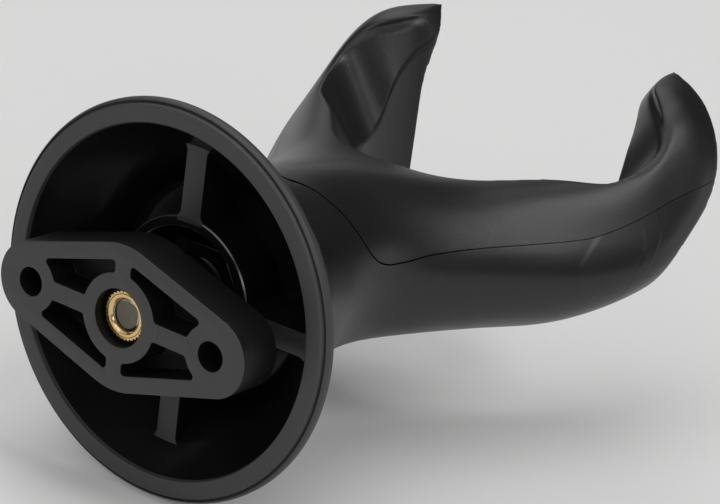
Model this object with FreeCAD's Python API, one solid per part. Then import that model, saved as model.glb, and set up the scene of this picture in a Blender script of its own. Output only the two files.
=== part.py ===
"""Wall guitar hanger.

A moulded plate is screwed flat to the wall. A brass insert in its middle holds an M6 stud, and the
hanger's neck runs on that stud by its thread: a round cup with four ribs hides the plate, and a
yoke with two upturned arms carries the instrument. The arms and the top of the neck are covered
by a soft pad that is moulded over the hard yoke body.

Frame: millimetres, +Z up, +Y into the wall, origin on the stud axis in the plate's wall face.
"""

import FreeCAD, Part
import math
import os
from FreeCAD import Vector

# ---------------------------------------------------------------- wall plate
plate_thick = 9.2            # front to back
plate_middle_radius = 13.9   # of the round middle
plate_end_radius = 7.6       # round each screw hole
screw_spacing = 42.7         # between the two screw holes
screw_hole_radius = 2.75
screw_head_radius = 5.2      # countersink on the front face
plate_wall = 3.2             # outer wall round the pockets
plate_web = 3.6              # the webs across and down
plate_floor = 3.0            # front skin in front of the pockets
screw_boss_radius = 5.8
middle_boss_radius = 8.4
pocket_corner = 0.7          # corner radius in the pockets
bore_radius = 5.45           # open bore round the insert's head
insert_recess = 1.8          # insert's face below the wall face

# ---------------------------------------------------------------- insert and stud
insert_head_radius = 4.6
insert_head_thick = 1.3
insert_teeth = 24
insert_tooth_depth = 0.45
insert_body_radius = 3.95
insert_front_skin = 0.8      # plate left in front of the insert
stud_radius = 3.0            # M6
stud_recess = 2.7            # stud's end below the wall face
stud_length = 30.0
stud_chamfer = 0.7
running_gap = 0.05           # radial, between the stud and what turns or slides on it

# ---------------------------------------------------------------- cup
rim_standoff = 11.0          # wall face to rim plane, as it stands part-way out on its thread
plate_cup_gap = 0.5          # round the plate's ends, once it sits in the cup
rim_slope_width = 4.1        # from the bowl's edge at the ribs out to the rim's face
rim_slope_depth = 0.8        # step inside the rim's face
rim_width = 4.5
rim_edge_round = 1.2
lip_edge_round = 0.6
lip_thick = 2.6
cup_wall = 2.7
rib_depth = 6.5              # rib faces below the rim plane, where the plate seats
rib_width = 4.7
rib_flare = 1.1              # where a rib meets the bowl
ring_radius = 15.4           # round wall in the cup's middle
ring_wall = 2.0
cup_floor_depth = 17.0       # pocket floor below the rim plane
cup_floor_thick = 3.0
foot_radius = 23.8           # outside of the cup where the neck sits

# ---------------------------------------------------------------- what clamps the cup to the neck
spigot_radius = 7.0          # M14
spigot_gap = 0.2             # radial, in the cup's hole and in the washer
spigot_length = 11.6         # from the neck's foot to the spigot's end
cup_washer_radius = 11.0
cup_washer_thick = 1.2
cup_nut_flats = 19.0
cup_nut_thick = 5.0
swivel_washer_radius = 8.5
swivel_washer_thick = 1.6
swivel_washer_gap = 0.2      # between the swivel washer and the spigot's end
bush_radius = 4.6
bush_length = 22.0
stud_room_radius = 3.5       # blind bore ahead of the bush
stud_room_length = 5.0

# ---------------------------------------------------------------- yoke
# Distances are measured forward from the neck's foot, heights from the stud axis.
# The neck is round at first: (distance, radius) after the foot.
neck_rounds = [(6.0, 22.0), (14.0, 20.2)]

# Cross-sections of the uncut yoke, seen from the front, right half: distance, crown height,
# (x, z) of the brow, the shoulder, the flank, the widest point and the bilge, and keel height.
yoke_sections = [
    (25.0, 18.9, (7.2, 17.9), (13.6, 14.0), (18.6, 7.6), (20.2, 0.5), (14.2, -13.5), -18.8),
    (37.0, 17.6, (8.4, 17.2), (15.6, 14.6), (21.4, 8.5), (25.2, 0.5), (18.4, -13.1), -18.5),
    (49.0, 15.9, (11.0, 15.5), (20.4, 14.3), (27.4, 8.2), (32.0, -0.5), (24.0, -13.2), -18.7),
    (60.0, 13.2, (14.0, 13.8), (26.2, 15.2), (33.6, 8.5), (39.0, -1.4), (29.6, -13.5), -18.7),
    (70.0, 12.0, (18.0, 13.2), (32.6, 16.1), (40.0, 8.4), (44.6, -1.2), (34.8, -13.4), -18.0),
    (80.0, 14.0, (23.0, 16.4), (39.0, 17.9), (45.0, 10.0), (48.9, 1.4), (38.2, -11.6), -16.3),
    (90.0, 20.4, (25.0, 25.0), (40.2, 24.9), (46.6, 16.2), (50.5, 5.4), (40.2, -9.2), -13.8),
    (100.0, 27.6, (27.0, 30.9), (38.6, 31.3), (46.2, 24.0), (50.0, 14.0), (40.0, -5.8), -11.6),
    (106.5, 31.4, (27.0, 32.9), (36.8, 32.3), (43.6, 26.9), (47.6, 17.4), (39.4, -3.0), -10.4),
    (113.0, 33.9, (27.0, 34.1), (35.2, 32.7), (40.8, 27.6), (44.2, 20.0), (38.0, 0.0), -9.0),
]

# Edge of the gap between the arms, seen from above, right half: (x, distance).
gap_outline = [
    (0.0, 56.0), (9.0, 59.8), (18.0, 67.6), (26.0, 77.2), (30.6, 87.0), (30.4, 94.6),
    (28.6, 101.0), (27.0, 105.6), (29.0, 110.0), (34.0, 116.0),
]

# The cradle slopes up all round the gap. At each station, the crease at the slope's foot and the
# ridge at its top, right half: (x, distance, z).
cradle_stations = [
    ((0.0, 56.0, 5.0), (0.0, 44.5, 17.0)),
    ((9.0, 59.8, 5.0), (11.0, 50.5, 15.4)),
    ((18.0, 67.6, 4.5), (22.0, 60.4, 15.8)),
    ((26.0, 77.2, 4.0), (33.2, 71.8, 16.7)),
    ((30.0, 85.0, 3.6), (40.0, 82.0, 18.8)),
    ((31.0, 90.0, 5.6), (41.0, 87.6, 22.0)),
    ((30.5, 94.2, 14.5), (39.0, 91.8, 26.2)),
    ((30.0, 97.0, 20.0), (35.0, 95.6, 28.8)),
    ((28.5, 100.8, 24.0), (31.6, 99.6, 31.2)),
    ((26.9, 105.4, 27.2), (30.4, 105.0, 33.2)),
    ((28.0, 111.0, 31.2), (31.4, 111.0, 35.2)),
    ((29.0, 118.0, 36.0), (32.6, 118.0, 39.4)),
]

# Front of the arms at each height: height, and the distance beside the gap and at the outside.
front_gap_x = 26.6
front_outer_x = 50.4
front_levels = [
    (-30.0, 99.0, 74.0),
    (-12.0, 103.2, 78.2),
    (0.0, 103.9, 85.0),
    (10.0, 103.5, 95.6),
    (17.0, 103.5, 101.0),
    (25.0, 105.4, 104.9),
    (31.0, 109.3, 107.0),
    (37.0, 114.8, 111.2),
]

# Edge of the soft pad on the neck, side view: (distance, height).
pad_neck_edge = [
    (4.6, 25.0), (5.6, 22.3), (6.9, 21.0), (9.4, 20.0), (11.9, 18.7), (13.8, 16.9), (15.6, 14.7),
    (17.3, 11.7), (19.1, 8.4), (21.1, 5.9), (23.9, 4.4), (27.5, 4.1), (35.5, 5.0),
]

# Edge of the soft pad on the arm's outside (x, distance, z), one point for each cradle station;
# its inner edge is the crease.
pad_arm_edge = [
    (35.0, 58.0, 6.1), (38.0, 63.0, 6.4), (41.0, 69.0, 7.2), (44.7, 78.1, 10.1), (46.5, 85.0, 12.7),
    (47.8, 89.5, 14.2), (48.6, 92.5, 14.9), (49.0, 94.5, 15.2), (49.4, 96.4, 15.5), (49.6, 99.0, 15.8),
    (50.0, 104.0, 16.5), (50.0, 118.0, 20.0),
]
pad_lip = 0.8                # how far the pad wraps past the crease
pad_thick = 3.5

# ---------------------------------------------------------------- derived places
plate_front_y = -plate_thick
rim_y = -rim_standoff
rib_face_y = rim_y - rib_depth
cup_floor_y = rim_y - cup_floor_depth
foot_y = cup_floor_y - cup_floor_thick
spigot_end_y = foot_y + spigot_length
bush_end_y = spigot_end_y - bush_length
bowl_radius = screw_spacing / 2 + plate_end_radius + plate_cup_gap
rim_inner_radius = bowl_radius + rim_slope_width
rim_radius = rim_inner_radius + rim_width
far = 200.0                  # reach of the cutting tools beyond the part


def ahead(distance):
    """Y of a place so far ahead of the neck's foot."""
    return foot_y - distance


# ---------------------------------------------------------------- shared shapes
def disc(radius, y_back, y_front, x=0.0, z=0.0):
    """A round along -Y from y_back to y_front."""
    return Part.makeCylinder(radius, y_back - y_front, Vector(x, y_back, z), Vector(0, -1, 0))


def tube(outer_radius, inner_radius, y_back, y_front):
    return disc(outer_radius, y_back, y_front).cut(disc(inner_radius, y_back + 1, y_front - 1))


def prism(face, y_back, y_front):
    """Extrude a face drawn in the XZ plane from y_back to y_front."""
    face.translate(Vector(0, y_back, 0))
    return face.extrude(Vector(0, y_front - y_back, 0))


def polygon_face(points):
    """A face in the XZ plane with straight sides."""
    corners = [Vector(x, 0, z) for x, z in points]
    return Part.Face(Part.makePolygon(corners + corners[:1]))


def turned(edges):
    """Revolve the closed profile made by the edges round the stud axis."""
    face = Part.Face(Part.Wire(Part.__sortEdges__(edges)))
    return face.revolve(Vector(0, 0, 0), Vector(0, 1, 0), 360)


def chamfer_ends(shape, size):
    """Chamfer the round edges at the two ends of a turned piece."""
    box = shape.BoundBox
    ends = [
        edge for edge in shape.Edges
        if edge.BoundBox.YLength < 1e-6
        and min(abs(edge.BoundBox.YMin - box.YMin), abs(edge.BoundBox.YMax - box.YMax)) < 1e-6
    ]
    return shape.makeChamfer(size, ends)


def smooth_curve(points):
    """An open curve through the points."""
    curve = Part.BSplineCurve()
    curve.interpolate(points)
    return curve.toShape()


def both_sides(half):
    """A solid and its mirror image, joined across the middle plane."""
    return half.fuse(half.mirror(Vector(0, 0, 0), Vector(1, 0, 0))).removeSplitter()


# ---------------------------------------------------------------- wall plate
def plate_outline(inset):
    """Plate outline, inset all round: a round middle and two round ends, joined by tangents."""
    end_x = screw_spacing / 2
    middle = plate_middle_radius - inset
    end = plate_end_radius - inset
    lean = math.acos((middle - end) / end_x)
    cos_lean = math.cos(lean)
    sin_lean = math.sin(lean)
    right_top = Vector(end_x + end * cos_lean, 0, end * sin_lean)
    middle_top_right = Vector(middle * cos_lean, 0, middle * sin_lean)

    def turn(vector, x_sign, z_sign):
        return Vector(vector.x * x_sign, 0, vector.z * z_sign)

    edges = []
    for z_sign in (1, -1):
        crown = Vector(0, 0, middle * z_sign)
        arc = Part.Arc(turn(middle_top_right, -1, z_sign), crown, turn(middle_top_right, 1, z_sign))
        edges.append(arc.toShape())
    for x_sign in (1, -1):
        tip = Vector((end_x + end) * x_sign, 0, 0)
        arc = Part.Arc(turn(right_top, x_sign, 1), tip, turn(right_top, x_sign, -1))
        edges.append(arc.toShape())
        for z_sign in (1, -1):
            start = turn(middle_top_right, x_sign, z_sign)
            edges.append(Part.makeLine(start, turn(right_top, x_sign, z_sign)))
    return Part.Face(Part.Wire(Part.__sortEdges__(edges)))


def strip(length, width):
    """A rectangle in the XZ plane, centred on the stud axis."""
    return polygon_face([(-length / 2, -width / 2), (length / 2, -width / 2),
                         (length / 2, width / 2), (-length / 2, width / 2)])


def round_face(radius, x=0.0):
    circle = Part.Circle(Vector(x, 0, 0), Vector(0, 1, 0), radius)
    return Part.Face(Part.Wire(circle.toShape()))


def plate_pockets():
    """Four pockets, open to the wall, between the webs, the bosses and the outer wall."""
    reach = 2 * screw_spacing
    solid_areas = [strip(reach, plate_web), strip(plate_web, reach), round_face(middle_boss_radius)]
    solid_areas += [round_face(screw_boss_radius, side * screw_spacing / 2) for side in (1, -1)]
    room = plate_outline(plate_wall)
    for area in solid_areas:
        room = room.cut(area)
    pockets = []
    for face in room.Faces:
        rounded = face.makeOffset2D(-pocket_corner, join=0).makeOffset2D(pocket_corner, join=0)
        pockets.append(prism(rounded, 0, plate_front_y + plate_floor))
    return pockets


def wall_plate():
    plate = prism(plate_outline(0), 0, plate_front_y)
    for pocket in plate_pockets():
        plate = plate.cut(pocket)
    for side in (1, -1):
        x = side * screw_spacing / 2
        plate = plate.cut(disc(screw_hole_radius, 1, plate_front_y - 1, x))
        sink_depth = screw_head_radius - screw_hole_radius
        sink = Part.makeCone(screw_head_radius, screw_hole_radius, sink_depth,
                             Vector(x, plate_front_y, 0), Vector(0, 1, 0))
        plate = plate.cut(sink)
    head_floor_y = -insert_recess - insert_head_thick
    plate = plate.cut(disc(bore_radius, 1, head_floor_y))
    plate = plate.cut(disc(insert_body_radius, 0, plate_front_y + insert_front_skin))
    return plate.cut(disc(stud_radius + running_gap, 0, plate_front_y - 1))


# ---------------------------------------------------------------- insert and stud
def brass_insert():
    """A bush with a toothed head, pressed into the plate from the wall side."""
    step = math.pi / insert_teeth
    corners = []
    for tooth in range(insert_teeth):
        for part_step, radius in ((0, insert_head_radius), (1, insert_head_radius - insert_tooth_depth)):
            angle = (2 * tooth + part_step) * step
            corners.append((radius * math.cos(angle), radius * math.sin(angle)))
    head = prism(polygon_face(corners), -insert_recess, -insert_recess - insert_head_thick)
    body = disc(insert_body_radius, -insert_recess, plate_front_y + insert_front_skin)
    return head.fuse(body).removeSplitter().cut(disc(stud_radius, 0, plate_front_y - 1))


def threaded_stud():
    stud = disc(stud_radius, -stud_recess, -stud_recess - stud_length)
    return chamfer_ends(stud, stud_chamfer)


# ---------------------------------------------------------------- cup
def cup_point(radius, depth):
    """A point of the cup's section, at a radius and a depth below the rim plane."""
    return Vector(radius, rim_y - depth, 0)


def cup_bowl():
    """Half-section curve of the bowl's inside, from the rim's slope to the floor."""
    middle_radius = (bowl_radius + foot_radius) / 2 - cup_wall
    middle_depth = (rib_depth + cup_floor_depth) / 2
    return smooth_curve([cup_point(rim_inner_radius, rim_slope_depth), cup_point(bowl_radius, rib_depth),
                         cup_point(middle_radius, middle_depth),
                         cup_point(foot_radius - cup_wall, cup_floor_depth)])


def cup_shell():
    """The bell-shaped shell, from its lip to the floor that the neck seats on."""
    foot_depth = cup_floor_depth + cup_floor_thick
    neck = cup_point(foot_radius, foot_depth)
    outside = smooth_curve([
        cup_point(rim_radius - cup_wall, lip_thick),
        cup_point(bowl_radius + cup_wall, rib_depth + cup_wall / 2),
        cup_point((bowl_radius + foot_radius) / 2, (rib_depth + foot_depth) / 2),
        neck,
    ])
    hole = spigot_radius + spigot_gap
    floor = [cup_point(foot_radius - cup_wall, cup_floor_depth), cup_point(hole, cup_floor_depth),
             cup_point(hole, foot_depth), neck]
    lip = [cup_point(rim_radius - cup_wall, lip_thick), cup_point(rim_radius - lip_edge_round, lip_thick),
           cup_point(rim_radius, lip_thick - lip_edge_round), cup_point(rim_radius, rim_edge_round),
           cup_point(rim_radius - rim_edge_round, 0), cup_point(rim_inner_radius, 0),
           cup_point(rim_inner_radius, rim_slope_depth)]
    edges = [cup_bowl(), outside]
    for path in (floor, lip):
        edges += [Part.makeLine(start, end) for start, end in zip(path, path[1:])]
    return turned(edges)


def bowl_room():
    """The room inside the bowl, up to the rib faces."""
    top = cup_point(0, 0)
    floor = cup_point(0, cup_floor_depth)
    edges = [cup_bowl(), Part.makeLine(cup_point(foot_radius - cup_wall, cup_floor_depth), floor),
             Part.makeLine(floor, top), Part.makeLine(top, cup_point(rim_inner_radius, 0)),
             Part.makeLine(cup_point(rim_inner_radius, 0), cup_point(rim_inner_radius, rim_slope_depth))]
    return turned(edges).common(disc(rim_radius, rib_face_y, cup_floor_y))


def cup_rib():
    """One rib along +X, with flared toes, longer than the bowl is wide there."""
    start = ring_radius - ring_wall / 2
    end = bowl_radius + cup_wall
    half = rib_width / 2
    toe = bowl_radius - rib_flare
    outline = [(start, -half), (toe, -half), (end, -half - rib_flare - cup_wall),
               (end, half + rib_flare + cup_wall), (toe, half), (start, half)]
    return prism(polygon_face(outline), rib_face_y, cup_floor_y)


def wall_cup():
    """Shell, ring and four ribs."""
    room = bowl_room()
    cup = cup_shell().fuse(tube(ring_radius, ring_radius - ring_wall, rib_face_y, cup_floor_y))
    for quarter in range(4):
        rib = cup_rib().common(room)
        rib.rotate(Vector(0, 0, 0), Vector(0, 1, 0), 90 * quarter)
        cup = cup.fuse(rib)
    return cup.removeSplitter()


def hexagon(flats):
    across = flats / math.sqrt(3)
    return polygon_face([(across * math.cos(math.radians(60 * i)), across * math.sin(math.radians(60 * i)))
                         for i in range(6)])


def cup_washer():
    return tube(cup_washer_radius, spigot_radius + spigot_gap, cup_floor_y + cup_washer_thick, cup_floor_y)


def cup_nut():
    front_y = cup_floor_y + cup_washer_thick
    nut = prism(hexagon(cup_nut_flats), front_y + cup_nut_thick, front_y)
    return nut.cut(disc(spigot_radius, front_y + cup_nut_thick + 1, front_y - 1))


def swivel_washer():
    front_y = spigot_end_y + swivel_washer_gap
    return tube(swivel_washer_radius, stud_radius + running_gap, front_y + swivel_washer_thick, front_y)


def neck_bush():
    return tube(bush_radius, stud_radius + running_gap, spigot_end_y, bush_end_y)


# ---------------------------------------------------------------- yoke
def round_section(distance, radius):
    """A round cross-section in the form of a row of yoke_sections."""
    def on_circle(degrees):
        angle = math.radians(degrees)
        return (radius * math.cos(angle), radius * math.sin(angle))
    around = [on_circle(degrees) for degrees in (67.5, 45, 22.5, 0, -45)]
    return (distance, radius, *around, -radius)


def half_section(row, inset):
    """Right half of a cross-section of the uncut yoke, drawn in by the inset all round."""
    distance, crown, brow, shoulder, flank, widest, bilge, keel = row
    y = ahead(distance)
    diagonal = inset * math.sqrt(0.5)
    crown_point = Vector(0, y, crown - inset)
    side = [
        Vector(brow[0], y, brow[1] - inset),
        Vector(shoulder[0] - diagonal, y, shoulder[1] - diagonal),
        Vector(flank[0] - inset, y, flank[1]),
        Vector(widest[0] - inset, y, widest[1]),
        Vector(bilge[0] - diagonal, y, bilge[1] + diagonal),
    ]
    keel_point = Vector(0, y, keel + inset)
    other_side = [Vector(-p.x, p.y, p.z) for p in reversed(side)]
    curve = Part.BSplineCurve()
    curve.interpolate([crown_point] + side + [keel_point] + other_side, PeriodicFlag=True)
    middle = (curve.FirstParameter + curve.LastParameter) / 2
    return Part.Wire([curve.toShape(curve.FirstParameter, middle), Part.makeLine(keel_point, crown_point)])


def half_blank(inset):
    """Right half of the yoke before its gap, cradle and front are cut."""
    rows = [round_section(0, foot_radius)] + [round_section(*row) for row in neck_rounds]
    return Part.makeLoft([half_section(row, inset) for row in rows + yoke_sections], True, False)


def gap_tool(inset):
    """Upright cutter for the right half of the gap between the arms."""
    low = -far / 2
    curve = Part.BSplineCurve()
    points = [Vector(0, ahead(gap_outline[0][1] - inset), low)]
    points += [Vector(x + inset, ahead(distance), low) for x, distance in gap_outline[1:]]
    curve.interpolate(points, InitialTangent=Vector(1, 0, 0), FinalTangent=points[-1] - points[-2])
    corners = [points[-1], Vector(points[-1].x, -far, low), Vector(0, -far, low), points[0]]
    edges = [curve.toShape()] + [Part.makeLine(start, end) for start, end in zip(corners, corners[1:])]
    return Part.Face(Part.Wire(edges)).extrude(Vector(0, 0, far))


def cradle_tool(inset):
    """Cutter for the slope of the cradle, right half: all that lies above the slope."""
    overrun = 16.0
    up = Vector(0, 0, far / 2)
    wires = []
    for crease, ridge in cradle_stations:
        low = Vector(crease[0], ahead(crease[1]), crease[2])
        high = Vector(ridge[0], ahead(ridge[1]), ridge[2])
        along = (high - low).normalize()
        into = along.cross(along.cross(Vector(0, 0, 1))).normalize() * inset
        start = low + into - along * overrun
        end = high + into + along * overrun
        wires.append(Part.makePolygon([start, end, end + up, start + up, start]))
    return Part.makeLoft(wires, True, False)


def front_tool(inset):
    """Cutter for the front of the arm, right half: all that lies ahead of it."""
    side = 2 * front_outer_x
    wires = []
    for height, gap_distance, outer_distance in front_levels:
        slope = (outer_distance - gap_distance) / (front_outer_x - front_gap_x)
        middle_y = ahead(gap_distance - slope * front_gap_x - inset)
        side_y = ahead(gap_distance + slope * (side - front_gap_x) - inset)
        corners = [Vector(0, middle_y, height), Vector(side, side_y, height),
                   Vector(side, -far, height), Vector(0, -far, height)]
        wires.append(Part.makePolygon(corners + corners[:1]))
    return Part.makeLoft(wires, True, False)


def half_yoke(inset):
    """Right half of the yoke's outside, drawn in by the inset."""
    half = half_blank(inset).cut(gap_tool(inset))
    return half.cut(cradle_tool(inset)).cut(front_tool(inset))


def pad_zone():
    """All that lies above the pad's edge, right half."""
    overrun = 4.0
    up = Vector(0, 0, far)
    rows = [(Vector(0, ahead(distance), height), Vector(foot_radius, ahead(distance), height))
            for distance, height in pad_neck_edge]
    for (crease, ridge), edge in zip(cradle_stations, pad_arm_edge):
        low = Vector(crease[0], ahead(crease[1]), crease[2])
        high = Vector(ridge[0], ahead(ridge[1]), ridge[2])
        inner = low + (low - high).normalize() * pad_lip
        rows.append((inner, Vector(edge[0], ahead(edge[1]), edge[2])))
    wires = []
    for inner, outer in rows:
        reach = (outer - inner).normalize() * overrun
        start = inner - reach
        end = outer + reach
        wires.append(Part.makePolygon([start, end, end + up, start + up, start]))
    return Part.makeLoft(wires, True, False)


def half_pad():
    """Right half of the soft cover over the core of the arm and the top of the neck."""
    return half_yoke(0).common(pad_zone()).cut(half_yoke(pad_thick))


def cradle_pad():
    """Soft cover of the cradle, over both arms."""
    return both_sides(half_pad())


def yoke_body():
    """Hard yoke: neck, core of the arms and their undersides, with the spigot behind."""
    body = both_sides(half_yoke(0).cut(half_pad()))
    body = body.fuse(disc(spigot_radius, spigot_end_y, foot_y - 1)).removeSplitter()
    body = body.cut(disc(bush_radius, spigot_end_y + 1, bush_end_y))
    return body.cut(disc(stud_room_radius, bush_end_y + 1, bush_end_y - stud_room_length))


# ---------------------------------------------------------------- the parts
subparts = {
    "wall_plate": wall_plate,
    "brass_insert": brass_insert,
    "threaded_stud": threaded_stud,
    "swivel_washer": swivel_washer,
    "wall_cup": wall_cup,
    "cup_washer": cup_washer,
    "cup_nut": cup_nut,
    "neck_bush": neck_bush,
    "yoke_body": yoke_body,
    "cradle_pad": cradle_pad,
}

os.makedirs("parts", exist_ok=True)
for name, make in subparts.items():
    shape = make()
    shape.exportStep("parts/" + name + ".step")
    print(name, "solids", len(shape.Solids), "valid", shape.isValid(), "volume", round(shape.Volume, 1))
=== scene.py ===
"""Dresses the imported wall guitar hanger: rounded mouldings, turned and threaded metal, and grained plastics.

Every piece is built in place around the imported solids, in metres, on the body that it moves with.
"""

import math

import bmesh
import bpy
import numpy as np
from bpy.props import FloatProperty, FloatVectorProperty, IntProperty, PointerProperty
from mathutils import Matrix, Vector


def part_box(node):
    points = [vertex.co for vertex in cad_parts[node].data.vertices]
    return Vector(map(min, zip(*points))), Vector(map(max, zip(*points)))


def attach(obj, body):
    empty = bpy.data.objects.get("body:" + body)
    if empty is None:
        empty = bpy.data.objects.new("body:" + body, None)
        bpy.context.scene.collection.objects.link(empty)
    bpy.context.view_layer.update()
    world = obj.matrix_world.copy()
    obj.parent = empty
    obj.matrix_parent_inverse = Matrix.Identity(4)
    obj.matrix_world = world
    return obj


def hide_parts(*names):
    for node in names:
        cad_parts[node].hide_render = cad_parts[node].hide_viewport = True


bl_info = {
    "name": "Wall Guitar Hanger",
    "version": (1, 0, 0),
    "blender": (4, 5, 0),
    "location": "3D View > Sidebar > Hanger",
    "description": "Builds the visible pieces of a wall guitar hanger around its packed solids",
    "category": "Object",
}

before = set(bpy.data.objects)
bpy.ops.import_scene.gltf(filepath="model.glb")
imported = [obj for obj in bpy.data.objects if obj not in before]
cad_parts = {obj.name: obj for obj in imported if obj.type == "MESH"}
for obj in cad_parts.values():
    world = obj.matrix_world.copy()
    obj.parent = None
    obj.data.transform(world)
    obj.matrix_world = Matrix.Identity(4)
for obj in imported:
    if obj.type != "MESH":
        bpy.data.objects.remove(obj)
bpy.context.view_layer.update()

MM = 0.001
HAIR = 0.02 * MM         # keeps two flat faces from lying in one plane
STUD_AXIS = Vector((0, 1, 0))
FULL_TURN = 2 * math.pi

plate_low, plate_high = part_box("wall_plate")
insert_low, insert_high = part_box("brass_insert")
stud_low, stud_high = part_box("threaded_stud")
cup_low, cup_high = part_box("wall_cup")
bush_low, bush_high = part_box("neck_bush")
rim_y = cup_high.y
foot_y = cup_low.y       # where the cup ends and the yoke's neck begins


# -------- settings
def size(name, description, millimetres, least=0.0):
    """A length that can be changed in the sidebar."""
    return FloatProperty(name=name, description=description, default=millimetres * MM, min=least,
                         subtype="DISTANCE", unit="LENGTH", precision=5)


def colour(name, description, rgb):
    return FloatVectorProperty(name=name, description=description, default=rgb, subtype="COLOR",
                               size=3, min=0.0, max=1.0)


def share(name, description, value):
    """A number from 0 to 1."""
    return FloatProperty(name=name, description=description, default=value, min=0.0, max=1.0,
                         subtype="FACTOR")


def count(name, description, value, least, most):
    return IntProperty(name=name, description=description, default=value, min=least, max=most)


def angle(name, description, degrees):
    return FloatProperty(name=name, description=description, default=math.radians(degrees),
                         subtype="ANGLE")


class YokeSettings(bpy.types.PropertyGroup):
    fine_step: size("Fine step", "Edge length of the skin while its creases are rounded", 0.36, 0.0003)
    kept_faces: share("Kept faces", "Share of the fine skin's faces that the finished skin keeps", 0.42)
    rounding_passes: count("Rounding passes", "How often the skin is smoothed, which rounds its creases",
                           24, 0, 80)
    regained: FloatProperty(name="Regained", default=1.0, min=0.0, max=2.0, subtype="FACTOR",
                            description="How much of the reach that smoothing takes off is given back")
    end_reach: size("End reach", "How far the extra rounding reaches from the top of each arm", 11.0)
    end_passes: count("End passes", "Extra smoothing passes that round the arms' ends", 110, 0, 200)
    groove_width: size("Groove width", "Half the width of the groove inside each arm's end", 1.1)
    groove_depth: size("Groove depth", "Depth of the groove inside each arm's end", 0.55)
    parting_gap: size("Parting gap", "Width of the line between hard yoke and soft pad, at the neck", 0.32)
    spigot_pitch: size("Spigot pitch", "Pitch of the thread on the spigot behind the neck", 1.5, 0.0002)
    hard_colour: colour("Hard yoke", "Colour of the hard plastic", (0.009, 0.009, 0.0092))
    pad_colour: colour("Soft pad", "Colour of the soft pad", (0.010, 0.010, 0.0107))
    grain: size("Grain", "Size of the moulded grain", 0.3, 0.00005)


class CupSettings(bpy.types.PropertyGroup):
    steps: count("Steps", "How many steps the cup is turned in", 180, 24, 720)
    edge: size("Rib edge", "Rounding of the edges of the ribs and the ring", 0.25)
    plastic: colour("Cup", "Colour of the cup's plastic", (0.045, 0.045, 0.046))
    grain: size("Rim grain", "Size of the moulded grain on the rim", 0.28, 0.00005)


class PlateSettings(bpy.types.PropertyGroup):
    edge: size("Plate edge", "Rounding of the plate's edges", 0.3)
    plastic: colour("Plate", "Colour of the plate's plastic", (0.045, 0.045, 0.046))
    grain: size("Plate grain", "Size of the moulded grain on the plate", 0.3, 0.00005)


class MetalSettings(bpy.types.PropertyGroup):
    teeth: count("Teeth", "Teeth round the insert's head", 32, 6, 60)
    stud_pitch: size("Stud pitch", "Pitch of the stud's thread", 1.0, 0.0002)
    brass: colour("Brass", "Colour of the insert", (0.83, 0.58, 0.25))
    stud_steel: colour("Stud steel", "Colour of the stud", (0.17, 0.16, 0.13))
    # Pale steel painted on the stud's chamfers and in the insert's bore: a painted highlight for the bright
    # ring round the stud's end.
    painted_glint_steel: colour("Painted glint steel", "Colour of the stud's chamfers and the insert's worn bore",
                       (0.6, 0.57, 0.51))
    nut_steel: colour("Nut steel", "Colour of the nut, washers and bush", (0.06, 0.06, 0.062))


class StageSettings(bpy.types.PropertyGroup):
    floor_colour: colour("Floor", "Colour of the floor", (0.76, 0.76, 0.755))
    floor_span: size("Floor span", "Side of the square floor", 8000, 0.5)
    floor_drop: size("Floor drop", "Room between the floor and the cup's rim", 0.3)
    lens: FloatProperty(name="Lens", description="Focal length in millimetres", default=109.91,
                        min=20, max=400)
    distance: size("Camera distance", "From the camera to its aim", 400, 0.05)
    azimuth: angle("Azimuth", "Where the camera stands round the object", -146.88)
    elevation: angle("Elevation", "How high the camera stands", 19.61)
    roll: angle("Roll", "How far the camera leans", 7.99)
    aim: FloatVectorProperty(name="Aim", description="Point that the camera looks at", size=3,
                             default=(-0.02672, -0.03426, 0.01376), subtype="TRANSLATION", unit="LENGTH")
    light_level: FloatProperty(name="Light level", description="Strength of all the lamps together",
                               default=1.0, min=0)
    surround: share("Surround", "Brightness of the even light all round", 0.05)
    floor_glow: share("Floor glow", "What is added to the floor where it is seen or mirrored", 0.05)


# -------- finishes
RELIEF_STEP = 0.12 * MM      # height of the faint steps in a moulded surface
# Two steps across the outside of each arm's end. Of each, in millimetres: distance from the wall at
# its bottom, how much more that is at its top, the heights between which it leans, half its width.
BACK_STEP = (105.9, 4.0, -3.0, 8.0, 0.5)
FRONT_STEP = (109.1, 5.0, -1.5, 9.5, 0.12)
BACK_SHARE = 0.45            # the back step's share of RELIEF_STEP; the front step has the rest
FRONT_FOOT = (-1.35, -1.1)   # heights between which the front step begins, in millimetres
ARM_OUTSIDE = (40.0, 41.0)   # distances from the middle between which both steps begin
# Fine lines across the plate's webs: side of the stud, and distance from its axis in millimetres.
WEB_LINES = ((1, 12.3), (-1, 9.6))
WEB_LINE_BEND = 60.0         # how strongly they curve, per metre
WEB_LINE_EDGE = (0.06, 0.16)     # how far from its middle a line begins to fade, and ends
WEB_EDGE = (2.6, 3.0)        # how far up and down the web the lines begin to fade, and end


class Wire:
    """A number on its way through a finish; sums on it add Math nodes."""

    def __init__(self, finish, socket):
        self.finish = finish
        self.socket = socket

    def math(self, operation, first, second=0.0):
        return self.finish.node("ShaderNodeMath", {"operation": operation}, {0: first, 1: second})

    def __add__(self, other):
        return self.math("ADD", self, other)

    __radd__ = __add__

    def __sub__(self, other):
        return self.math("SUBTRACT", self, other)

    def __rsub__(self, other):
        return self.math("SUBTRACT", other, self)

    def __mul__(self, other):
        return self.math("MULTIPLY", self, other)

    __rmul__ = __mul__

    def __truediv__(self, other):
        return self.math("DIVIDE", self, other)

    def absolute(self):
        return self.math("ABSOLUTE", self)

    def over(self, low, high):
        """From 0 below low to 1 above high, smoothly."""
        return self.finish.node("ShaderNodeMapRange", {"interpolation_type": "SMOOTHSTEP"},
                                {"Value": self, "From Min": low, "From Max": high})


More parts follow.
